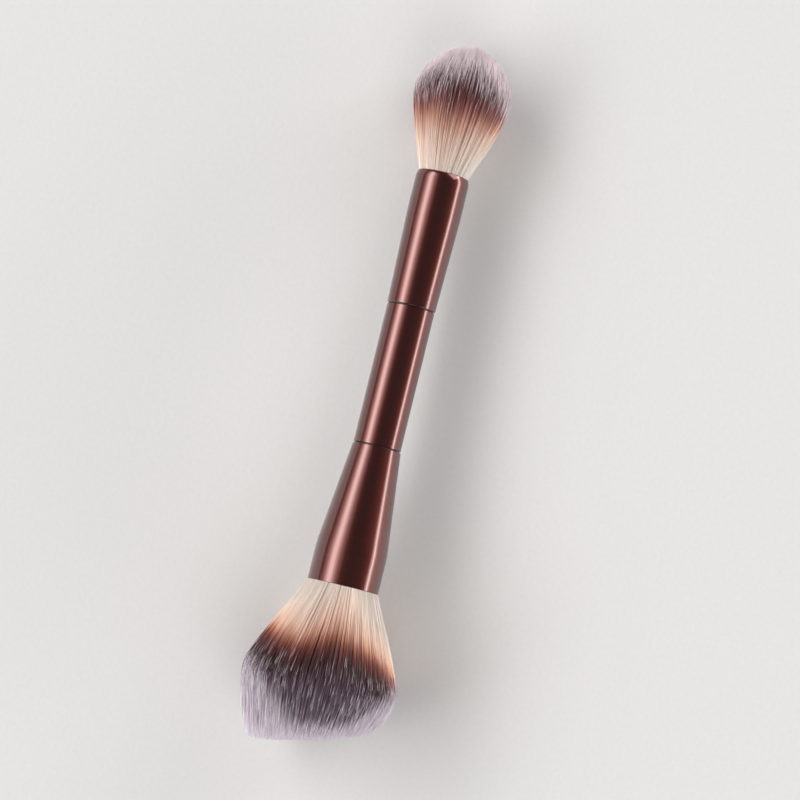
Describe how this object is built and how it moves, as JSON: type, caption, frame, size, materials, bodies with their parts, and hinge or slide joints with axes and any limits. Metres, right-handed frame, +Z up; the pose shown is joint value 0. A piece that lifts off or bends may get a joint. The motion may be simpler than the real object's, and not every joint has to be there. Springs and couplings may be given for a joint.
{
  "type": "double ended makeup brush",
  "caption": "Double ended face brush: a big slanted powder head and a small domed blush head, each in a tapered metal ferrule on a short metal handle.",
  "frame": {"origin": "on the floor, under the middle of the bounding box of the brush as it lies on both its heads", "axes": "+X runs from the big head to the small one, +Z is up, and +Y is the side on which the slanted head is longest"},
  "size_m": [0.1904, 0.0408, 0.0395],
  "materials": {
    "ferrule_metal": "dark bronze brown anodised aluminium, glossy, turned",
    "sleeve_metal": "dark bronze brown anodised aluminium tube, glossy, drawn",
    "powder_hair": "synthetic hair, cream with a brown band and white tips",
    "blush_hair": "synthetic hair, cream with a brown band and white tips",
    "moulded_stud": "moulded black ABS, satin",
    "root_epoxy": "hardened amber epoxy"
  },
  "bodies": {
    "root": {"large_tuft": "powder_hair", "large_ferrule": "ferrule_metal", "large_joint_stud": "moulded_stud", "large_root_glue": "root_epoxy", "handle_sleeve": "sleeve_metal", "small_tuft": "blush_hair", "small_ferrule": "ferrule_metal", "small_joint_stud": "moulded_stud", "small_root_glue": "root_epoxy"}
  },
  "joints": []
}
